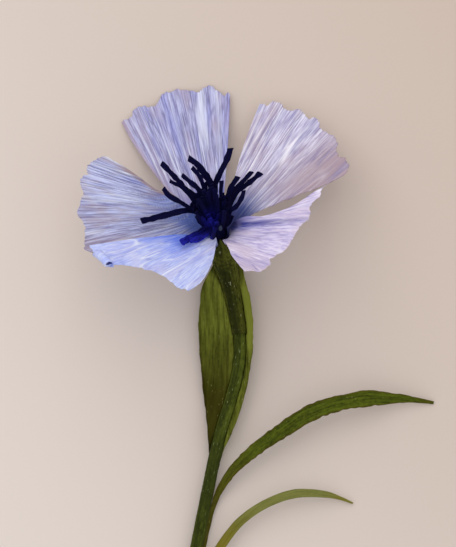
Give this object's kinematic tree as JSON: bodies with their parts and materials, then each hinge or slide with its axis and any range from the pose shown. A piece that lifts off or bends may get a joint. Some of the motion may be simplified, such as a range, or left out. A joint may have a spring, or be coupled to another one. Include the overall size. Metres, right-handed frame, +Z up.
{
  "type": "paper flower",
  "caption": "Lying paper flower: torn, fluted petals round a dark fringe of stamens, a wound calyx, a paper-wrapped wire stem and slender leaves.",
  "frame": {"origin": "on the table, under the middle of the lying flower's box", "axes": "+Z up from the table, +Y from the stem's cut end towards the petals, +X to the right as seen from above"},
  "size_m": [0.1072, 0.2072, 0.0584],
  "materials": {
    "wire": "plain drawn wire",
    "stem_paper": "olive crepe strip wound tight and glued",
    "calyx_paper": "dark olive crepe, wound over glue",
    "stamen_paper": "navy crepe cut in narrow strips",
    "petal_paper": "pale lavender crepe, fluted, deeper blue towards the base",
    "leaf_paper": "olive green crepe with fine lengthwise streaks",
    "pale_leaf_paper": "faded green crepe with fine lengthwise streaks"
  },
  "bodies": {
    "root": {"stem_wire": "wire", "stem_wrap": "stem_paper", "calyx": "calyx_paper", "stamen_fringe": "stamen_paper", "petal_top": "petal_paper", "petal_upper_right": "petal_paper", "petal_lower_right": "petal_paper", "petal_lower_left": "petal_paper", "petal_left": "petal_paper", "sheath_leaf": "leaf_paper", "upper_leaf": "leaf_paper", "lower_leaf": "pale_leaf_paper"}
  },
  "joints": []
}
